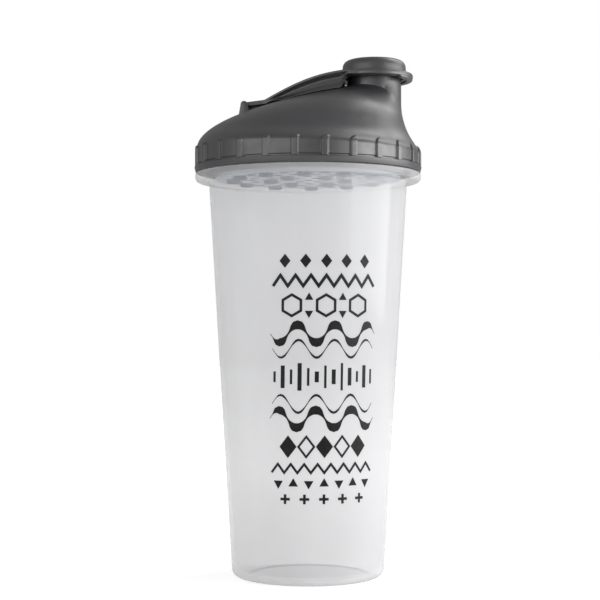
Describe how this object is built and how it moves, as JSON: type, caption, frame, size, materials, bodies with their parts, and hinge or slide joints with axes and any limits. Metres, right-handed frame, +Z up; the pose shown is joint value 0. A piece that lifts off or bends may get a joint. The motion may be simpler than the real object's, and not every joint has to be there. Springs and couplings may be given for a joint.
{
  "type": "protein shaker bottle",
  "caption": "Tapered translucent shaker cup with a ribbed screw lid that sweeps up to an off-centre spout, a flip cap on a long hinged arm, and a strainer disc under the lid.",
  "frame": {"origin": "centre of the cup's base, on the surface that the bottle stands on", "axes": "+Z up along the cup's axis, +X from the axis towards the spout, +Y to the left of someone who looks along +X"},
  "size_m": [0.0976, 0.0976, 0.2209],
  "materials": {
    "cup_plastic": "frosted translucent polypropylene",
    "lid_plastic": "satin dark grey moulding",
    "cap_plastic": "satin dark grey moulding",
    "strainer_plastic": "satin blue-grey moulding",
    "seal": "soft silicone"
  },
  "bodies": {
    "cup": {"cup": "cup_plastic"},
    "lid_gasket": {"lid_gasket": "seal"},
    "lid": {"lid": "lid_plastic"},
    "strainer": {"strainer": "strainer_plastic"},
    "spout_cap": {"spout_cap": "cap_plastic"}
  },
  "joints": [
    {"name": "lid_lift", "type": "slide", "parent": "cup", "child": "lid_gasket", "axis": [0, 0, 1], "range_m": [0, 0.012]},
    {"name": "lid_turn", "type": "hinge", "parent": "lid_gasket", "child": "lid", "pos_m": [0, 0, 0.18], "axis": [0, 0, 1], "range_deg": [0, 720]},
    {"name": "cap_flip", "type": "hinge", "parent": "lid", "child": "spout_cap", "pos_m": [-0.0266, 0, 0.20097], "axis": [0, -1, 0], "range_deg": [0, 190]},
    {"name": "strainer_pull", "type": "slide", "parent": "lid", "child": "strainer", "axis": [0, 0, -1], "range_m": [0, 0.008]}
  ],
  "couplings": [
    {"joint": "lid_lift", "follows": "lid_turn", "m_per_rad": 0.00095493}
  ]
}
